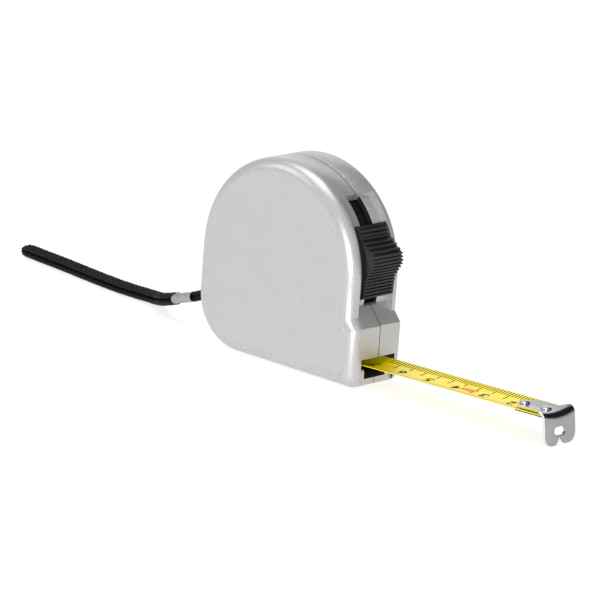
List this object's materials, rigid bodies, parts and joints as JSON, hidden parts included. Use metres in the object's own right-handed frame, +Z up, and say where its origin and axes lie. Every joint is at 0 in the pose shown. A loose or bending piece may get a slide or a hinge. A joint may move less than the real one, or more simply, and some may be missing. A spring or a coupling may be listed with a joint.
{
  "type": "tape measure",
  "caption": "Pocket tape measure: round two-part case with a square nose, spring-wound steel blade with a riveted end hook, ribbed thumb lock and braided wrist strap.",
  "frame": {"origin": "on the flat base, below the axis of the round case, in the plane where the two case halves meet", "axes": "+X the way the blade leaves the mouth, +Y across to the face with the screws, +Z up; the strap lies behind, toward -X"},
  "size_m": [0.2227, 0.0262, 0.059],
  "materials": {
    "silver_paint": "silver metallic lacquer on moulded ABS",
    "black_moulding": "black moulded plastic",
    "reel_plastic": "natural acetal",
    "pale_nylon": "polished natural nylon",
    "spring_steel": "blued spring steel",
    "yellow_enamel": "yellow enamel with printed scale",
    "bright_steel": "nickel-plated, polished",
    "dark_steel": "dark plated steel",
    "rivet_steel": "plated, domed heads",
    "crimp_steel": "plated crimp sleeve",
    "zinc_steel": "bright zinc plate",
    "black_rubber": "black rubber",
    "black_cord": "flat braided polyester cord"
  },
  "bodies": {
    "case": {"left_shell": "silver_paint", "right_shell": "silver_paint", "case_screws": "zinc_steel", "spindle_post": "black_moulding", "thrust_washers": "pale_nylon", "strap_bar": "zinc_steel", "strap_neck": "black_cord", "strap_ferrule": "crimp_steel", "strap_loop": "black_cord", "blade_run": "yellow_enamel"},
    "reel": {"reel_drum": "reel_plastic", "reel_cover": "reel_plastic", "blade_coil": "yellow_enamel", "power_spring": "spring_steel"},
    "lock": {"lock_button": "black_moulding", "lock_slide": "black_moulding", "brake_pad": "black_rubber"},
    "tip": {"blade_tip": "yellow_enamel", "hook_backing": "dark_steel", "hook_rivets": "rivet_steel"},
    "hook": {"end_hook": "bright_steel"}
  },
  "joints": [
    {"name": "reel_spin", "type": "hinge", "parent": "case", "child": "reel", "pos_m": [-0.001, 0, 0.0275], "axis": [0, 1, 0], "range_deg": [0, 214.6], "deforming": ["power_spring"]},
    {"name": "blade_slide", "type": "slide", "parent": "case", "child": "tip", "axis": [0.9996, 0, 0.0279], "range_m": [-0.06547, 0], "deforming": ["blade_run"]},
    {"name": "hook_play", "type": "slide", "parent": "tip", "child": "hook", "axis": [0.9996, 0, 0.0279], "range_m": [0, 0.0008]},
    {"name": "lock_travel", "type": "hinge", "parent": "case", "child": "lock", "pos_m": [0, 0, 0.0295], "axis": [0, -1, 0], "range_deg": [-1, 15]}
  ],
  "couplings": [
    {"joint": "blade_slide", "follows": "reel_spin", "m_per_rad": -0.01748}
  ]
}
